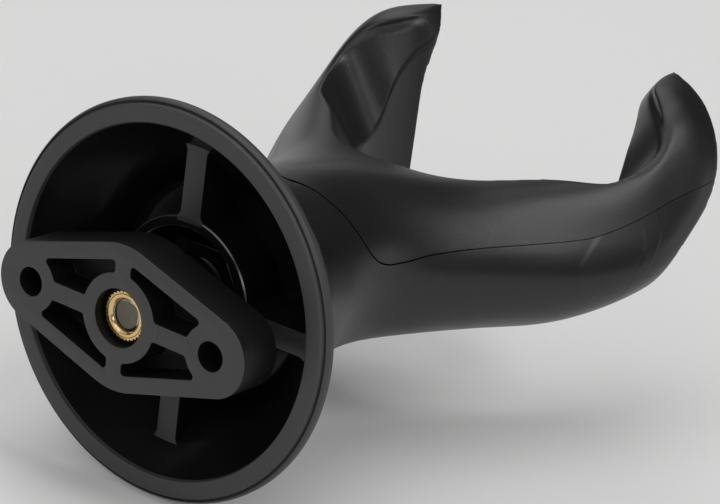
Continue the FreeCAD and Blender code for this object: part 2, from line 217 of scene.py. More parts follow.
class Finish:
    """One material: its nodes, and the shader that they feed."""

    def __init__(self, name):
        self.material = bpy.data.materials.new(name)
        self.material.use_nodes = True
        self.tree = self.material.node_tree
        self.tree.nodes.clear()
        self.shader = self.tree.nodes.new("ShaderNodeBsdfPrincipled")
        output = self.tree.nodes.new("ShaderNodeOutputMaterial")
        self.tree.links.new(self.shader.outputs[0], output.inputs["Surface"])
        self.place = self.node("ShaderNodeTexCoord", {}, {}, "Object")

    def node(self, kind, settings, values, output=0):
        """Adds a node with its settings and socket values or links, and gives one of its outputs."""
        made = self.tree.nodes.new(kind)
        for name, value in settings.items():
            setattr(made, name, value)
        for name, value in values.items():
            self.feed(made.inputs[name], value)
        return Wire(self, made.outputs[output])

    def feed(self, socket, value):
        if isinstance(value, Wire):
            self.tree.links.new(value.socket, socket)
        elif socket.type == "RGBA":
            socket.default_value = (*value, 1.0)
        else:
            socket.default_value = value

    def set(self, **values):
        """Sets the shader's sockets, written with _ for a space."""
        for name, value in values.items():
            self.feed(self.shader.inputs[name.replace("_", " ")], value)

    def speckle(self, grain, detail=2.0, roughness=0.5):
        """Noise with features of about that size in metres."""
        return self.node("ShaderNodeTexNoise", {}, {"Vector": self.place, "Scale": 1.0 / grain,
                                                    "Detail": detail, "Roughness": roughness})

    def pebble(self, grain):
        """Cells of about that size in metres, from 0 at their middles up."""
        return self.node("ShaderNodeTexVoronoi", {"feature": "SMOOTH_F1"},
                         {"Vector": self.place, "Scale": 1.0 / grain, "Smoothness": 0.6})

    def blend(self, factor, first, second):
        """From one colour to another; 6, 7 and output 2 are the Mix node's colours."""
        return self.node("ShaderNodeMix", {"data_type": "RGBA"}, {0: factor, 6: first, 7: second}, 2)

    def bump(self, height, distance, under=None):
        """A normal from a height of 0 to 1 that stands for distance in metres, perhaps on another."""
        values = {"Height": height, "Distance": distance}
        if under is not None:
            values["Normal"] = under
        return self.node("ShaderNodeBump", {}, values)

    def across(self):
        """Distance from the stud axis."""
        flat = self.node("ShaderNodeVectorMath", {"operation": "MULTIPLY"}, {0: self.place, 1: (1, 0, 1)})
        return self.node("ShaderNodeVectorMath", {"operation": "LENGTH"}, {0: flat}, "Value")

    def axis(self, letter):
        """One coordinate, X, Y or Z, in metres."""
        return self.node("ShaderNodeSeparateXYZ", {}, {0: self.place}, letter)


def shade(rgb, factor):
    """A colour made darker or lighter."""
    return tuple(min(1.0, part * factor) for part in rgb)


def moulded_plastic(name, rgb, grain, roughness, depth=0.02 * MM, relief=None):
    """Injection-moulded plastic with an even grain, a faint cloudiness and perhaps some relief."""
    finish = Finish(name)
    clouds = finish.speckle(9 * MM, detail=3.0)
    grains = finish.speckle(grain, detail=2.0, roughness=0.6)
    normal = finish.bump(grains, depth)
    if relief is not None:
        normal = finish.bump(relief(finish), RELIEF_STEP, under=normal)
    finish.set(
        Base_Color=finish.blend(clouds * 0.5 + grains * 0.5, shade(rgb, 0.78), shade(rgb, 1.22)),
        Roughness=roughness - 0.06 + clouds * 0.08 + grains * 0.06,
        Normal=normal,
    )
    return finish


def between(wire, edges):
    """From 0 below the lower of two edges in millimetres to 1 above the upper one."""
    low, high = edges
    return wire.over(low * MM, high * MM)


def wallward(finish, line):
    """From 0 beyond a leaning line across an arm's end to 1 on its wall side."""
    distance, lean, low, high, blur = line
    leaning = between(finish.axis("Z"), (low, high)) * (lean * MM)
    return between(finish.axis("Y") + leaning + distance * MM, (-blur, blur))


def end_panels(finish):
    """Steps of the mould's slides on the outside of each arm's end, as a height."""
    outside = between(finish.axis("X").absolute(), ARM_OUTSIDE)
    beyond = 1.0 - wallward(finish, FRONT_STEP)
    above = between(finish.axis("Z"), FRONT_FOOT)
    back = wallward(finish, BACK_STEP) * BACK_SHARE
    return outside * (1.0 - back - beyond * above * (1.0 - BACK_SHARE))


def web_marks(finish):
    """Fine curved lines across the plate's webs, where parts of its mould meet, as a height."""
    height = finish.axis("Z")
    bow = height * height * WEB_LINE_BEND
    lines = 0.0
    for side, distance in WEB_LINES:
        off_line = (finish.axis("X") * side - distance * MM + bow).absolute()
        lines = lines + (1.0 - between(off_line, WEB_LINE_EDGE))
    return 1.0 - lines * (1.0 - between(height.absolute(), WEB_EDGE))


def polished_plastic(name, rgb, roughness, gloss):
    """Plastic from a polished part of the mould, with faint haze; gloss is 0.5 where it is plain."""
    finish = Finish(name)
    haze = finish.speckle(6 * MM, detail=4.0, roughness=0.6)
    swirl = finish.speckle(0.9 * MM)
    finish.set(
        Base_Color=finish.blend(haze, shade(rgb, 0.7), rgb),
        Roughness=roughness + haze * 0.12 + swirl * 0.04,
        Specular_IOR_Level=gloss,
        Normal=finish.bump(haze, 0.02 * MM),
    )
    return finish


def soft_rubber(name, rgb, grain):
    """Matt moulded rubber that sparkles faintly where it catches the light."""
    finish = Finish(name)
    clouds = finish.speckle(7 * MM, detail=3.0)
    grains = finish.speckle(grain, detail=3.0, roughness=0.7)
    pores = finish.pebble(grain * 1.6)
    finish.set(
        Base_Color=finish.blend(clouds * 0.45 + grains * 0.55, shade(rgb, 0.72), shade(rgb, 1.28)),
        Roughness=0.27 + clouds * 0.05 + grains * 0.1,
        Normal=finish.bump(grains + pores * 0.4, 0.03 * MM),
    )
    return finish


def turned_metal(name, rgb, roughness, groove=0.1 * MM, depth=0.003 * MM):
    """Metal with fine rings from the lathe, and a little unevenness; groove is a ring's width."""
    finish = Finish(name)
    rings = finish.node("ShaderNodeTexNoise", {"noise_dimensions": "1D"},
                        {"W": finish.across() / groove, "Scale": 1.0, "Detail": 2.0})
    patches = finish.speckle(1.2 * MM, detail=3.0)
    fine = finish.speckle(0.15 * MM)
    finish.set(
        Base_Color=finish.blend(patches, shade(rgb, 0.82), shade(rgb, 1.1)),
        Metallic=1.0,
        Roughness=roughness - 0.06 + patches * 0.1 + fine * 0.06,
        Normal=finish.bump(rings * 0.7 + fine * 0.3, depth),
    )
    return finish


# -------- shared shaping
SMOOTH_ANGLE = 35.0      # edges up to this angle are smooth, in degrees
ALL_SMOOTH = 180.0


def closed_mesh(name, bm, smooth_angle=SMOOTH_ANGLE):
    """Turns a bmesh into an object whose edges are smooth up to an angle in degrees."""
    bmesh.ops.remove_doubles(bm, verts=bm.verts, dist=1e-7)
    bmesh.ops.recalc_face_normals(bm, faces=bm.faces)
    mesh = bpy.data.meshes.new(name)
    bm.to_mesh(mesh)
    bm.free()
    return link_mesh(name, mesh, smooth_angle)


def link_mesh(name, mesh, smooth_angle=SMOOTH_ANGLE):
    """Puts a mesh in the scene as an object."""
    for polygon in mesh.polygons:
        polygon.use_smooth = True
    mesh.set_sharp_from_angle(angle=math.radians(smooth_angle))
    mesh.name = name
    made = bpy.data.objects.new(name, mesh)
    bpy.context.scene.collection.objects.link(made)
    return made


def modified(name, source, kind, smooth_angle=SMOOTH_ANGLE, **settings):
    """A new object from what one modifier makes of another, which goes."""
    modifier = source.modifiers.new(kind.lower(), kind)
    for setting, value in settings.items():
        setattr(modifier, setting, value)
    graph = bpy.context.evaluated_depsgraph_get()
    mesh = bpy.data.meshes.new_from_object(source.evaluated_get(graph))
    mesh.materials.clear()   # a boolean leaves an empty slot
    bpy.data.objects.remove(source)
    return link_mesh(name, mesh, smooth_angle)


def carved(name, target, tool, operation, smooth_angle=SMOOTH_ANGLE):
    """A new object from what a boolean operation leaves of target; the tool goes too."""
    made = modified(name, target, "BOOLEAN", smooth_angle, operation=operation, solver="MANIFOLD",
                    object=tool)
    bpy.data.objects.remove(tool)
    return made


def with_round_edges(name, source, width, segments, sharp_angle):
    """A new object whose edges over sharp_angle in degrees are rounded."""
    return modified(name, source, "BEVEL", smooth_angle=30.0, width=width, segments=segments,
                    limit_method="ANGLE", angle_limit=math.radians(sharp_angle))


def round_corner(bm, corner, rounding, segments):
    """Rounds a corner of a flat outline."""
    bmesh.ops.bevel(bm, geom=[corner], offset=rounding, offset_type="OFFSET", segments=segments,
                    profile=0.5, affect="VERTICES", material=-1)


def everything(bm):
    return bm.verts[:] + bm.edges[:] + bm.faces[:]


def add_to(bm, part):
    """Adds a bmesh to another; the added one goes."""
    holder = bpy.data.meshes.new("holder")
    part.to_mesh(holder)
    part.free()
    bm.from_mesh(holder)
    bpy.data.meshes.remove(holder)


def thicken(bm, faces, y_travel):
    """Gives faces a thickness along the stud axis."""
    grown = bmesh.ops.extrude_face_region(bm, geom=faces)
    moved = [item for item in grown["geom"] if isinstance(item, bmesh.types.BMVert)]
    bmesh.ops.translate(bm, verts=moved, vec=Vector((0, y_travel, 0)))


def repeat_round(bm, copies):
    """Repeats it all evenly round the stud axis."""
    bmesh.ops.spin(bm, geom=everything(bm), cent=(0, 0, 0), axis=STUD_AXIS, angle=FULL_TURN,
                   steps=copies, use_duplicate=True, use_merge=False)


def merge_flat(bm):
    """Merges the triangles of flat faces."""
    bmesh.ops.dissolve_limit(bm, angle_limit=math.radians(1.0), verts=bm.verts, edges=bm.edges)


def merged_nodes(*nodes):
    """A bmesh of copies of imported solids, with their loose triangles merged."""
    bm = bmesh.new()
    for node in nodes:
        bm.from_mesh(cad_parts[node].data)
    bmesh.ops.remove_doubles(bm, verts=bm.verts, dist=1e-6)
    return bm


def draw_line(bm, places):
    """Adds a line through some places to a bmesh."""
    corners = [bm.verts.new(place) for place in places]
    for pair in zip(corners, corners[1:]):
        bm.edges.new(pair)


def rounded_section(corners):
    """A closed section from (radius, y, rounding) corners, as a bmesh with its corners rounded."""
    bm = bmesh.new()
    placed = [bm.verts.new((radius, y, 0)) for radius, y, rounding in corners]
    for first, second in zip(placed, placed[1:] + placed[:1]):
        bm.edges.new((first, second))
    for corner, (radius, y, rounding) in zip(placed, corners):
        if rounding > 0:
            round_corner(bm, corner, rounding, segments=5)
    return bm


def spin_closed(bm, steps):
    """Spins everything in the bmesh a full turn round the stud axis."""
    bmesh.ops.spin(bm, geom=bm.verts[:] + bm.edges[:], cent=(0, 0, 0), axis=STUD_AXIS, angle=FULL_TURN,
                   steps=steps, use_merge=True)


def turned(section, steps):
    """A line through (radius, y) corners turned round the stud axis, as a bmesh."""
    bm = bmesh.new()
    draw_line(bm, [(radius, y, 0) for radius, y in section])
    spin_closed(bm, steps)
    return bm


def dress(piece, body, slot, nodes, *finishes):
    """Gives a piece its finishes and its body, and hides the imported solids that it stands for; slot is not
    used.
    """
    for finish in finishes:
        piece.data.materials.append(finish.material)
    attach(piece, body)
    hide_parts(*nodes)


# -------- yoke
# Straight rows of the surface that parts the hard yoke from the soft pad, on the +x side, in
# millimetres. A neck row runs level from the middle outwards: distance ahead of the neck's foot, z.
NECK_ROWS = ((4.6, 25.0), (5.6, 22.3), (6.9, 21.0), (9.4, 20.0), (11.9, 18.7), (13.8, 16.9), (15.6, 14.7),
             (17.3, 11.7), (19.1, 8.4), (21.1, 5.9), (23.9, 4.4), (27.5, 4.1), (35.5, 5.0))
NECK_ROW_END = 24.0      # x where the neck's rows end
# An arm row runs from the inner side to the outside: x, distance ahead of the foot, z.
ARM_ROWS = (
    ((0.0, 56.6, 4.4), (35.0, 58.0, 6.1)),
    ((8.9, 60.4, 4.4), (38.0, 63.0, 6.4)),
    ((17.8, 68.0, 3.9), (41.0, 69.0, 7.2)),
    ((25.6, 77.5, 3.4), (44.7, 78.1, 10.1)),
    ((29.5, 85.1, 3.0), (46.5, 85.0, 12.7)),
    ((30.5, 90.1, 4.9), (47.8, 89.5, 14.2)),
    ((30.0, 94.3, 13.9), (48.6, 92.5, 15.1)),
    ((29.6, 97.1, 19.3), (49.0, 94.5, 15.5)),
    ((28.2, 100.9, 23.3), (49.4, 96.4, 15.9)),
    ((26.5, 105.4, 26.5), (49.7, 99.0, 16.5)),
    ((27.5, 111.0, 30.6), (50.0, 104.0, 17.6)),
    ((28.4, 118.0, 35.5), (50.0, 118.0, 21.0)),
)
# Middle line of the soft groove inside each arm's upturned end: x, distance ahead of the foot, z.
TIP_GROOVE = ((39.4, 80.3, 17.8), (40.6, 83.3, 19.3), (41.3, 87.0, 21.8), (40.5, 90.5, 25.2),
              (37.4, 93.6, 27.9), (34.0, 96.6, 29.4), (31.5, 100.0, 30.8), (30.1, 103.5, 31.9),
              (30.0, 107.6, 32.9))
SURFACE_REACH = 4.0      # how far the parting surface runs out of the yoke, in millimetres
PATCH_STEPS = 8          # smooth steps between two rows
CROSS_CUTS = 12          # cuts across the surface, so that its twist stays smooth
# Share of the parting gap's width that is left, at distances ahead of the neck's foot.
GAP_SHARES = ((30.0, 48.0, 90.0, 110.0), (1.0, 0.5, 0.4, 0.25))
GROOVE_FADE = 0.25       # share of its line over which the groove fades in, and out
GROOVE_PASSES = 3        # smoothing passes that soften the groove's lips
BORE_ROOM = 0.5          # the neck's bore is at most this much wider than its bush
BORE_END_ROOM = 6.0      # and this much longer


def ahead(x, distance, z):
    """A place from millimetres: x, distance ahead of the neck's foot, z."""
    return Vector((x * MM, foot_y - distance * MM, z * MM))


def smooth_line(points):
    """Places along one smooth curve through the points."""
    data = bpy.data.curves.new("line", "CURVE")
    data.dimensions = "3D"
    data.resolution_u = PATCH_STEPS
    spline = data.splines.new("BEZIER")
    spline.bezier_points.add(len(points) - 1)
    for knot, point in zip(spline.bezier_points, points):
        knot.co = point
        knot.handle_left_type = "AUTO"
        knot.handle_right_type = "AUTO"
    holder = bpy.data.objects.new("line", data)
    bpy.context.scene.collection.objects.link(holder)
    bpy.context.view_layer.update()
    mesh = bpy.data.meshes.new_from_object(holder)
    places = [vertex.co.copy() for vertex in mesh.vertices]
    bpy.data.objects.remove(holder)
    bpy.data.curves.remove(data)
    bpy.data.meshes.remove(mesh)
    return places


def parting_knife(gap):
    """A thin wall along the parting surface, through both halves of the yoke."""
    rows = [(ahead(0, distance, z), ahead(NECK_ROW_END, distance, z)) for distance, z in NECK_ROWS]
    rows += [(ahead(*inner), ahead(*outer)) for inner, outer in ARM_ROWS]
    bm = bmesh.new()
    for end, other in ((0, 1), (1, 0)):
        ends = [row[end] + (row[end] - row[other]).normalized() * SURFACE_REACH * MM for row in rows]
        draw_line(bm, smooth_line(ends))
    across = bmesh.ops.bridge_loops(bm, edges=bm.edges[:])["edges"]
    bmesh.ops.subdivide_edges(bm, edges=across, cuts=CROSS_CUTS)
    bmesh.ops.bisect_plane(bm, geom=everything(bm), plane_co=(0, 0, 0), plane_no=(-1, 0, 0),
                           clear_outer=True)
    bmesh.ops.mirror(bm, geom=everything(bm), axis="X", merge_dist=0.01 * MM)
    knife = closed_mesh("parting_knife", bm)
    width = knife.vertex_groups.new(name="width")
    for vertex in knife.data.vertices:
        distance = (foot_y - vertex.co.y) / MM
        width.add([vertex.index], float(np.interp(distance, *GAP_SHARES)), "REPLACE")
    return modified("parting_knife", knife, "SOLIDIFY", thickness=gap, offset=0.0, vertex_group=width.name)


def of_points(mesh, what):
    """The places or normals of a mesh's points, all in one row."""
    values = np.empty(3 * len(mesh.vertices), np.float32)
    mesh.vertices.foreach_get(what, values)
    return values


def smoothed_places(skin, passes):
    """Where the skin's points would be after some passes of smoothing."""
    soften = skin.modifiers.new("soften", "SMOOTH")
    soften.factor = 0.5
    soften.iterations = passes
    graph = bpy.context.evaluated_depsgraph_get()
    softened = skin.evaluated_get(graph)
    places = of_points(softened.to_mesh(), "co")
    softened.to_mesh_clear()
    skin.modifiers.remove(soften)
    return places


def press_groove(skin, line, width, depth):
    """Presses a soft groove into both arms along the line, fading out at its ends."""
    places = of_points(skin.data, "co")
    one_side = places.reshape(-1, 3).copy()
    one_side[:, 0] = np.abs(one_side[:, 0])
    press = np.zeros(len(one_side), np.float32)
    for index, point in enumerate(line):
        to_end = min(index, len(line) - 1 - index) / len(line)
        fade = min(1.0, to_end / GROOVE_FADE)
        gap = np.linalg.norm(one_side - np.array(point, np.float32), axis=1)
        press = np.maximum(press, fade * np.exp(-(gap / width) ** 2))
    places -= depth * np.repeat(press, 3) * of_points(skin.data, "normal")
    skin.data.vertices.foreach_set("co", places)


def rounded_ends(skin, reach, passes):
    """The skin smoothed round the top of each arm, less and less as far as reach."""
    points = of_points(skin.data, "co").reshape(-1, 3)
    ends = skin.vertex_groups.new(name="ends")
    for side in (-1, 1):
        height = np.where(points[:, 0] * side > 0, points[:, 2], -np.inf)
        gap = np.linalg.norm(points - points[np.argmax(height)], axis=1)
        for index in np.flatnonzero(gap < reach):
            ends.add([int(index)], float(1 - gap[index] / reach), "REPLACE")
    return modified("yoke_skin", skin, "SMOOTH", ALL_SMOOTH, factor=0.5, iterations=passes,
                    vertex_group=ends.name)


def yoke_skin(settings):
    """The outside of the yoke and its pad as one closed skin with rounded creases."""
    bm = merged_nodes("yoke_body", "cradle_pad")
    bmesh.ops.bisect_plane(bm, geom=everything(bm), dist=1e-7, plane_co=(0, foot_y - HAIR, 0),
                           plane_no=STUD_AXIS, clear_outer=True)
    bore_radius = bush_high.x + BORE_ROOM * MM
    bore_end = bush_low.y - BORE_END_ROOM * MM
    bore = [v for v in bm.verts if math.hypot(v.co.x, v.co.z) < bore_radius and v.co.y > bore_end]
    bmesh.ops.delete(bm, geom=bore, context="VERTS")
    rim = [edge for edge in bm.edges if edge.is_boundary]
    bmesh.ops.edgeloop_fill(bm, edges=rim)
    skin = modified("yoke_skin", closed_mesh("creased_skin", bm), "REMESH", ALL_SMOOTH, mode="VOXEL",
                    voxel_size=settings.fine_step)
    once = smoothed_places(skin, settings.rounding_passes)
    skin.data.vertices.foreach_set("co", once)
    twice = smoothed_places(skin, settings.rounding_passes)
    skin.data.vertices.foreach_set("co", once + settings.regained * (once - twice))
    skin.data.update()
    groove = smooth_line([ahead(*point) for point in TIP_GROOVE])
    press_groove(skin, groove, settings.groove_width, settings.groove_depth)
    skin.data.vertices.foreach_set("co", smoothed_places(skin, GROOVE_PASSES))
    skin = rounded_ends(skin, settings.end_reach, settings.end_passes)
    return modified("yoke_skin", skin, "DECIMATE", ALL_SMOOTH, ratio=settings.kept_faces)


def apart(whole):
    """The two largest loose parts of an object as bmeshes, the lower one first; the object goes."""
    bm = bmesh.new()
    bm.from_mesh(whole.data)
    bpy.data.objects.remove(whole)
    islands = []
    unseen = set(bm.faces)
    while unseen:
        island = set()
        front = [unseen.pop()]
        while front:
            face = front.pop()
            island.add(face.index)
            found = unseen.intersection(other for edge in face.edges for other in edge.link_faces)
            unseen -= found
            front += found
        islands.append(island)
    halves = []
    for island in sorted(islands, key=len)[-2:]:
        part = bm.copy()
        others = [face for face in part.faces if face.index not in island]
        bmesh.ops.delete(part, geom=others, context="FACES")
        halves.append(part)
    bm.free()
    halves.sort(key=lambda part: min(v.co.z for v in part.verts))
    return halves


SPIGOT_RADIUS = 7.0      # in millimetres
SPIGOT_CHAMFER = 0.8
SPIGOT_STEPS = 64


def spigot(pitch):
    """The threaded spigot behind the neck, as a hollow turned piece."""
    bore = bush_high.x
    outer = SPIGOT_RADIUS * MM
    chamfer = SPIGOT_CHAMFER * MM
    root = outer - 0.55 * pitch
    end = bush_high.y
    section = [(bore, foot_y), (bore, end), (outer - chamfer, end), (outer, end - chamfer)]
    y = end - chamfer - 0.6 * pitch
    # Crest, flank, root and flank of each turn, as shares of the pitch.
    while y - pitch > foot_y:
        section += [(outer, y), (root, y - 0.3 * pitch), (root, y - 0.42 * pitch), (outer, y - 0.72 * pitch)]
        y -= pitch
    section += [(outer, foot_y), (bore, foot_y)]
    return turned(section, SPIGOT_STEPS)


class HANGER_OT_yoke(bpy.types.Operator):
    """Build the hard yoke and its soft pad, parted along the seam"""

    bl_idname = "hanger.yoke"
    bl_label = "Yoke and pad"

    def execute(self, context):
        settings = context.scene.hanger_yoke
        skin = yoke_skin(settings)
        knife = parting_knife(settings.parting_gap)
        lower, upper = apart(carved("yoke_parts", skin, knife, "DIFFERENCE"))
        add_to(lower, spigot(settings.spigot_pitch))
        body = closed_mesh("hard_yoke", lower, smooth_angle=40.0)
        dress(body, "yoke", "yoke_plastic", ["yoke_body"],
              moulded_plastic("satin_yoke_plastic", settings.hard_colour, settings.grain, roughness=0.33,
                              depth=0.005 * MM, relief=end_panels))
        pad = closed_mesh("soft_pad", upper, smooth_angle=40.0)
        dress(pad, "yoke", "pad_rubber", ["cradle_pad"],
              soft_rubber("soft_pad_rubber", settings.pad_colour, settings.grain))
        return {"FINISHED"}


# -------- cup
# Section of the cup: radius and depth below the rim plane in millimetres, and corner rounding.
CUP_SECTION = (
    (7.2, 17.0, 0.3), (21.1, 17.0, 1.6), (23.9, 11.75, 3.0), (29.45, 6.5, 3.2), (33.35, 0.95, 0.25),
    (33.55, 0.0, 0.25), (36.9, 0.0, 0.45), (37.15, 1.15, 0.2), (37.45, 1.15, 0.2), (37.5, 0.55, 0.18),
    (38.05, 1.0, 0.5), (38.05, 2.6, 0.5), (35.3, 2.75, 0.7), (32.15, 7.85, 2.5), (26.6, 13.25, 2.5),
    (23.8, 20.0, 0.3), (7.2, 20.0, 0.0),
)
POLISHED_BELOW = 0.9       # depth of the rim's inner step, in millimetres
POLISHED_INSIDE = 33.5     # radius inside which the mould was polished, in millimetres
# The ring and the four ribs inside the cup: radii and depths below the rim plane, in millimetres.
RIB_FACE = 6.5             # depth of the faces of the ribs and the ring
RIB_HALF = 2.35            # half a rib's width
RIB_START = 14.2
RIB_ROOT_END = 15.2        # where the widened root of a rib begins to narrow
RIB_FILLET = 0.7
RIB_TOE = 28.4             # where a rib begins to flare
RIB_END = 31.4
RIB_FLARE = 3.0
RIB_FOOT = 18.0            # the ribs and the ring end inside the cup's floor
RING_FOOT = 17.5
RING_OUTER = 15.4
RING_INNER = 13.4
FACE_REACH = 0.6           # what lies this near to RIB_FACE counts as part of those faces
# The third finish is darkened as painted shade on the ribs' faces; the fourth is lighter and glossy as a
# painted highlight on the ring's edges.
GRAINED, POLISHED, RIB_SHADE, RING_GLINT = range(4)      # the order of the cup's finishes
# Line inside the wall at which the ribs end: radius and depth, in millimetres.
WALL_MIDDLE = ((0.0, 17.6), (22.4, 17.6), (25.3, 12.1), (31.0, 6.9), (32.4, 5.0), (0.0, 5.0))


def below_rim(depth):
    return rim_y - depth * MM


def cup_shell(steps):
    bm = rounded_section([(radius * MM, below_rim(depth), rounding * MM)
                          for radius, depth, rounding in CUP_SECTION])
    spin_closed(bm, steps)
    return closed_mesh("cup_shell", bm)


def wall_room(steps):
    """The solid that the ribs may fill, out to the middle of the cup's wall."""
    line = [(radius * MM, below_rim(depth)) for radius, depth in WALL_MIDDLE]
    return closed_mesh("wall_room", turned(line, steps))


def rib_cross(edge):
    """Four ribs with flared toes, standing on the cup's floor."""
    bm = bmesh.new()
    face_y = below_rim(RIB_FACE)
    root_half = RIB_HALF + RIB_FILLET
    toe_half = RIB_HALF + RIB_FLARE
    side = [(RIB_START, root_half, 0.0), (RIB_ROOT_END, root_half, 0.0),
            (RING_OUTER + RIB_FILLET, RIB_HALF, 0.5), (RIB_TOE, RIB_HALF, 0.7), (RIB_END, toe_half, 0.0)]
    corners = [(x, -z, rounding) for x, z, rounding in side] + list(reversed(side))
    placed = [bm.verts.new((x * MM, face_y, z * MM)) for x, z, rounding in corners]
    bm.faces.new(placed)
    for corner, (x, z, rounding) in zip(placed, corners):
        if rounding > 0:
            round_corner(bm, corner, rounding * MM, segments=4)
    thicken(bm, bm.faces[:], (RIB_FACE - RIB_FOOT) * MM)
    bmesh.ops.recalc_face_normals(bm, faces=bm.faces)
    upper = [e for e in bm.edges if all(abs(v.co.y - face_y) < 1e-7 for v in e.verts)]
    bmesh.ops.bevel(bm, geom=upper, offset=edge, offset_type="OFFSET", segments=2, profile=0.5,
                    affect="EDGES", material=-1)
    repeat_round(bm, 4)
    return closed_mesh("rib_cross", bm)


def rib_ring(steps, edge):
    """The ring that joins the ribs, with rounded edges at its face, as a bmesh."""
    inner = RING_INNER * MM
    outer = RING_OUTER * MM
    face_y = below_rim(RIB_FACE) - HAIR
    foot = below_rim(RING_FOOT)
    return turned([(inner, foot), (inner, face_y - edge), (inner + edge, face_y), (outer - edge, face_y),
                   (outer, face_y - edge), (outer, foot), (inner, foot)], steps)


def cup_finish(face):
    """Which finish a face of the cup has: darker plastic, a painted shade, on the ribs' faces, and lighter
    glossy plastic, a painted highlight, on the ring's edges.
    """
    middle = face.calc_center_median()
    radius = math.hypot(middle.x, middle.z)
    if radius > POLISHED_INSIDE * MM or not foot_y < middle.y < below_rim(POLISHED_BELOW):
        return GRAINED
    at_rib_face = abs(middle.y - below_rim(RIB_FACE)) < FACE_REACH * MM
    if at_rib_face and radius > RING_OUTER * MM and face.normal.y > 0.9:
        return RIB_SHADE
    if at_rib_face and radius < RING_OUTER * MM and 0.1 < face.normal.y < 0.98:
        return RING_GLINT
    return POLISHED


class HANGER_OT_cup(bpy.types.Operator):
    """Turn the cup and set its ring and four ribs inside"""

    bl_idname = "hanger.cup"
    bl_label = "Cup"

    def execute(self, context):
        settings = context.scene.hanger_cup
        shell = cup_shell(settings.steps)
        room = wall_room(settings.steps)
        ribs = carved("ribs", rib_cross(settings.edge), room, "INTERSECT")
        bm = bmesh.new()
        for part in (shell, ribs):
            bm.from_mesh(part.data)
            bpy.data.objects.remove(part)
        add_to(bm, rib_ring(settings.steps, settings.edge))
        bm.normal_update()
        for face in bm.faces:
            face.material_index = cup_finish(face)
        cup = closed_mesh("turned_cup", bm, smooth_angle=40.0)
        plastic = settings.plastic
        dress(cup, "yoke", "cup_plastic", ["wall_cup"],
              moulded_plastic("grained_cup_plastic", plastic, settings.grain, roughness=0.5,
                              depth=0.03 * MM),
              polished_plastic("polished_cup_plastic", shade(plastic, 0.15), roughness=0.16, gloss=0.17),
              # The ribs' faces: the plastic darkened, a painted shade inside the cup.
              moulded_plastic("painted_shade_rib_plastic", shade(plastic, 0.6), settings.grain, roughness=0.42),
              # The ring's edges: the plain plastic, lighter than the polished inside round it, with full
              # gloss: a painted highlight.
              polished_plastic("painted_glint_ring_plastic", plastic, roughness=0.12, gloss=1.0))
        return {"FINISHED"}


# -------- plate
class HANGER_OT_plate(bpy.types.Operator):
    """Round the edges of the wall plate and give it its grain"""

    bl_idname = "hanger.plate"
    bl_label = "Wall plate"

    def execute(self, context):
        settings = context.scene.hanger_plate
        bm = merged_nodes("wall_plate")
        merge_flat(bm)
        plate = with_round_edges("plate", closed_mesh("plate_blank", bm), settings.edge, segments=3,
                                 sharp_angle=40.0)
        # The faces get the grained plastic; the sides get smoother plastic whose darker colour is painted
        # shade.
        for polygon in plate.data.polygons:
            y = polygon.center.y
            near_face = min(plate_high.y - y, y - plate_low.y) < settings.edge
            matt = near_face and abs(polygon.normal.y) > 0.6
            polygon.material_index = 0 if matt else 1
        dress(plate, "wall_mounting", "plate_plastic", ["wall_plate"],
              moulded_plastic("matt_plate_plastic", settings.plastic, settings.grain, roughness=0.5,
                              relief=web_marks),
              # The sides: the plastic darkened, a painted shade.
              polished_plastic("painted_shade_side_plate_plastic", shade(settings.plastic, 0.15), roughness=0.34,
                               gloss=0.2))
        return {"FINISHED"}


# -------- metal
# The insert, in millimetres.
TOOTH_DEPTH = 0.32
TEETH_INNER = 3.9        # radius where the teeth begin
TEETH_DROP = 0.12        # how far the teeth lie below the insert's face
HEAD_DEPTH = 1.3
HEAD_RADIUS = 4.15       # of the smooth ring inside the teeth
SLEEVE_RADIUS = 3.95
INSERT_BORE = 3.0
BORE_EDGE = 0.45         # slope from the insert's face into its bore
GLINT_REACH = 0.1         # how far the pale steel, a painted highlight, reaches from the bore
# The stud, in millimetres.
STUD_RIM = 0.5           # width of its chamfers
STUD_FALL = 0.3          # depth of its chamfers
SPARE = 0.05             # how far the solid that trims its ends clears it elsewhere
THREAD_DEPTH = 0.58      # as a share of the pitch
METAL_STEPS = 96         # steps of the sleeve and of that solid


def toothed_head(teeth, top, bottom):
    """A toothed ring as a bmesh: one tooth, given its thickness and repeated round the axis."""
    bm = bmesh.new()
    step = FULL_TURN / teeth
    inner = TEETH_INNER * MM
    radius = insert_high.x
    valley = radius - TOOTH_DEPTH * MM
    outline = [(inner, 0.0), (valley, 0.0), (radius, 0.3), (radius, 0.7), (valley, 1.0), (inner, 1.0)]
    corners = []
    for reach, part in outline:
        turn = part * step
        corners.append(bm.verts.new((reach * math.cos(turn), top, reach * math.sin(turn))))
    thicken(bm, [bm.faces.new(corners)], bottom - top)
    walls = []
    for face in bm.faces:
        middle = face.calc_center_median()
        radial = Vector((middle.x, 0, middle.z)).normalized()
        between_teeth = abs(face.normal.dot(radial)) < 0.05
        if between_teeth and abs(face.normal.y) < 0.5:
            walls.append(face)
    bmesh.ops.delete(bm, geom=walls, context="FACES_ONLY")
    repeat_round(bm, teeth)
    return bm


